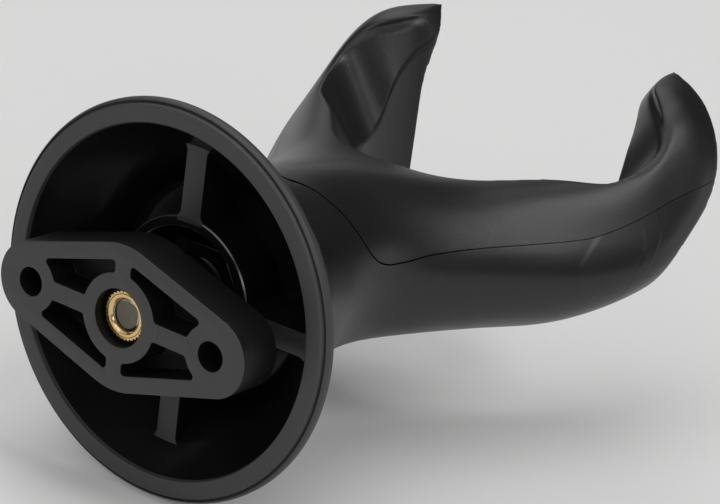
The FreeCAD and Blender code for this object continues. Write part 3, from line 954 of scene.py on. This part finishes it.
class HANGER_OT_insert(bpy.types.Operator):
    """Build the brass insert with its toothed head"""

    bl_idname = "hanger.insert"
    bl_label = "Brass insert"

    def execute(self, context):
        settings = context.scene.hanger_metal
        bore = INSERT_BORE * MM
        bore_edge = BORE_EDGE * MM
        sleeve = SLEEVE_RADIUS * MM
        face_y = insert_high.y
        neck_y = face_y - HEAD_DEPTH * MM
        bm = toothed_head(settings.teeth, face_y - TEETH_DROP * MM, neck_y)
        section = rounded_section([
            (bore + bore_edge, face_y, 0.12 * MM), (HEAD_RADIUS * MM, face_y, 0.2 * MM),
            ((HEAD_RADIUS - 0.05) * MM, neck_y, 0.0), (sleeve, neck_y, 0.0),
            (sleeve, insert_low.y, 0.3 * MM), (bore, insert_low.y, 0.2 * MM),
            (bore, face_y - bore_edge, 0.1 * MM)])
        spin_closed(section, METAL_STEPS)
        add_to(bm, section)
        insert = closed_mesh("toothed_insert", bm, smooth_angle=30.0)
        # Faces in the bore get the pale steel, a painted highlight.
        for polygon in insert.data.polygons:
            glinting = math.hypot(polygon.center.x, polygon.center.z) < bore + GLINT_REACH * MM
            polygon.material_index = 1 if glinting else 0
        dress(insert, "wall_mounting", "brass", ["brass_insert"],
              turned_metal("turned_brass", settings.brass, roughness=0.19, groove=0.12 * MM,
                           depth=0.004 * MM),
              turned_metal("painted_glint_bore_metal", settings.painted_glint_steel, roughness=0.22))
        return {"FINISHED"}


class HANGER_OT_stud(bpy.types.Operator):
    """Cut the stud's thread and chamfer its ends"""

    bl_idname = "hanger.stud"
    bl_label = "Threaded stud"

    def execute(self, context):
        settings = context.scene.hanger_metal
        pitch = settings.stud_pitch
        crest = stud_high.x
        root = crest - THREAD_DEPTH * pitch
        # The thread runs past both ends of the stud, and is cut off there.
        turns = math.ceil((stud_high.y - stud_low.y) / pitch) + 3
        start = stud_low.y - 1.5 * pitch
        steps_a_turn = 32
        bm = bmesh.new()
        draw_line(bm, [(root, start, 0), (root, start + 0.12 * pitch, 0), (crest, start + 0.45 * pitch, 0),
                       (crest, start + 0.6 * pitch, 0), (root, start + pitch, 0)])
        bmesh.ops.spin(bm, geom=bm.verts[:] + bm.edges[:], cent=(0, 0, 0), axis=STUD_AXIS,
                       angle=FULL_TURN * turns, steps=steps_a_turn * turns,
                       dvec=Vector((0, pitch / steps_a_turn, 0)), use_merge=False)
        bmesh.ops.remove_doubles(bm, verts=bm.verts, dist=2e-6)
        for y, outward in ((stud_high.y, STUD_AXIS), (stud_low.y, -STUD_AXIS)):
            cut = bmesh.ops.bisect_plane(bm, geom=everything(bm), dist=1e-7, plane_co=(0, y, 0),
                                         plane_no=outward, clear_outer=True)
            rim = [item for item in cut["geom_cut"] if isinstance(item, bmesh.types.BMEdge)]
            bmesh.ops.edgeloop_fill(bm, edges=rim)
        thread = closed_mesh("thread", bm)
        rim_radius = crest - STUD_RIM * MM
        fall = STUD_FALL * MM
        spare = SPARE * MM
        room = turned([(0, stud_low.y - spare), (rim_radius, stud_low.y - spare),
                       (crest + spare, stud_low.y + fall), (crest + spare, stud_high.y - fall),
                       (rim_radius, stud_high.y + spare), (0, stud_high.y + spare)], METAL_STEPS)
        stud = carved("stud", thread, closed_mesh("stud_room", room), "INTERSECT", smooth_angle=30.0)
        # The chamfers get the pale steel, a painted highlight.
        for polygon in stud.data.polygons:
            at_end = min(stud_high.y - polygon.center.y, polygon.center.y - stud_low.y) < fall
            glint_chamfer = at_end and abs(polygon.normal.y) < 0.95
            polygon.material_index = 1 if glint_chamfer else 0
        dress(stud, "wall_mounting", "stud_steel", ["threaded_stud"],
              turned_metal("dull_stud_steel", settings.stud_steel, roughness=0.42, groove=0.3 * MM,
                           depth=0.006 * MM),
              turned_metal("painted_glint_chamfer_steel", settings.painted_glint_steel, roughness=0.2))
        return {"FINISHED"}


class HANGER_OT_clamp(bpy.types.Operator):
    """Finish the nut, the washers and the bush that hold the cup and run on the stud"""

    bl_idname = "hanger.clamp"
    bl_label = "Nut, washers and bush"

    def execute(self, context):
        settings = context.scene.hanger_metal
        steel = turned_metal("dark_nut_steel", settings.nut_steel, roughness=0.32, groove=0.2 * MM,
                             depth=0.005 * MM)
        for node, body in (("cup_nut", "yoke"), ("cup_washer", "yoke"), ("swivel_washer", "thread_carrier")):
            bm = merged_nodes(node)
            merge_flat(bm)
            piece = with_round_edges("dark_" + node, closed_mesh(node + "_blank", bm), 0.2 * MM,
                                     segments=2, sharp_angle=30.0)
            dress(piece, body, "nut_steel", [node], steel)
        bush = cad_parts["neck_bush"]
        bush.data.materials.clear()
        bush.data.materials.append(steel.material)
        return {"FINISHED"}


# -------- stage
# Soft lamps far away: azimuth from the x axis, elevation and apparent width in degrees, strength.
LAMPS = {
    "key_light": (-178, 47, 22, 0.7),
    "flank_light": (146, 22, 24, 0.36),
    "low_light": (-147, 2, 30, 0.22),
    "face_light": (90, 35, 50, 0.62),
    "right_light": (40, 45, 50, 0.3),
    "far_light": (-38, 46, 36, 0.35),
    "web_light": (-50, 4, 40, 0.13),
    "top_light": (0, 88, 50, 1.0),
}


def add_lamp(name, azimuth, elevation, width, strength):
    """Adds a soft light from far away."""
    data = bpy.data.lights.new(name, "SUN")
    data.energy = strength
    data.angle = math.radians(width)
    made = bpy.data.objects.new(name, data)
    made.rotation_euler = (0, math.radians(90 - elevation), math.radians(azimuth))
    bpy.context.scene.collection.objects.link(made)


class HANGER_OT_stage(bpy.types.Operator):
    """Set out the floor, the soft lights and the camera"""

    bl_idname = "hanger.stage"
    bl_label = "Stage"

    def execute(self, context):
        scene = context.scene
        settings = scene.hanger_stage
        bm = bmesh.new()
        bmesh.ops.create_grid(bm, x_segments=8, y_segments=8, size=settings.floor_span / 2)
        bmesh.ops.translate(bm, verts=bm.verts, vec=Vector((0, 0, cup_low.z - settings.floor_drop)))
        mesh = bpy.data.meshes.new("floor")
        bm.to_mesh(mesh)
        bm.free()
        floor = link_mesh("floor", mesh)
        paper = Finish("pale_floor")
        fibres = paper.speckle(0.8 * MM, detail=3.0)
        drift = paper.speckle(150 * MM)
        pale = settings.floor_colour
        tone = paper.blend(fibres * 0.4 + drift * 0.6, shade(pale, 0.985), shade(pale, 1.015))
        seen = paper.node("ShaderNodeLightPath", {}, {}, "Is Camera Ray")
        mirrored = paper.node("ShaderNodeLightPath", {}, {}, "Is Glossy Ray")
        glow = paper.blend((seen + mirrored) * settings.floor_glow, (0, 0, 0), (1, 1, 1))
        paper.set(Base_Color=tone, Roughness=0.75 + fibres * 0.1, Normal=paper.bump(fibres, 0.02 * MM),
                  Emission_Color=glow, Emission_Strength=1.0)
        mesh.materials.append(paper.material)

        for name, (azimuth, elevation, width, strength) in LAMPS.items():
            add_lamp(name, azimuth, elevation, width, strength * settings.light_level)

        world = bpy.data.worlds.new("even_light")
        world.use_nodes = True
        background = world.node_tree.nodes["Background"]
        background.inputs["Color"].default_value = (1, 1, 1, 1)
        background.inputs["Strength"].default_value = settings.surround
        scene.world = world
        scene.view_settings.view_transform = "Standard"

        data = bpy.data.cameras.new("camera")
        data.lens = settings.lens
        data.clip_start = 0.01
        camera = bpy.data.objects.new("camera", data)
        turn = Matrix.Rotation(settings.azimuth, 4, "Z")
        turn = turn @ Matrix.Rotation(math.pi / 2 - settings.elevation, 4, "X")
        turn = turn @ Matrix.Rotation(settings.roll, 4, "Z")
        aim = Matrix.Translation(settings.aim)
        camera.matrix_world = aim @ turn @ Matrix.Translation((0, 0, settings.distance))
        scene.collection.objects.link(camera)
        scene.camera = camera
        return {"FINISHED"}


class HANGER_PT_panel(bpy.types.Panel):
    """Buttons and sizes of the wall guitar hanger"""

    bl_label = "Wall guitar hanger"
    bl_idname = "HANGER_PT_panel"
    bl_space_type = "VIEW_3D"
    bl_region_type = "UI"
    bl_category = "Hanger"

    def draw(self, context):
        for operators, (holder, settings) in GROUPS:
            box = self.layout.box()
            for operator in operators:
                box.operator(operator.bl_idname)
            for name in settings.__annotations__:
                box.prop(getattr(context.scene, holder), name)


# The panel's boxes: operators, and the name and class of the settings that they share.
GROUPS = (
    ((HANGER_OT_stage,), ("hanger_stage", StageSettings)),
    ((HANGER_OT_yoke,), ("hanger_yoke", YokeSettings)),
    ((HANGER_OT_cup,), ("hanger_cup", CupSettings)),
    ((HANGER_OT_plate,), ("hanger_plate", PlateSettings)),
    ((HANGER_OT_insert, HANGER_OT_stud, HANGER_OT_clamp), ("hanger_metal", MetalSettings)),
)


def register():
    for operators, (holder, settings) in GROUPS:
        bpy.utils.register_class(settings)
        setattr(bpy.types.Scene, holder, PointerProperty(type=settings))
        for operator in operators:
            bpy.utils.register_class(operator)
    bpy.utils.register_class(HANGER_PT_panel)


def unregister():
    bpy.utils.unregister_class(HANGER_PT_panel)
    for operators, (holder, settings) in reversed(GROUPS):
        for operator in reversed(operators):
            bpy.utils.unregister_class(operator)
        delattr(bpy.types.Scene, holder)
        bpy.utils.unregister_class(settings)


def main():
    register()
    bpy.ops.hanger.stage()
    bpy.ops.hanger.yoke()
    bpy.ops.hanger.cup()
    bpy.ops.hanger.plate()
    bpy.ops.hanger.insert()
    bpy.ops.hanger.stud()
    bpy.ops.hanger.clamp()


if __name__ == "__main__":
    main()
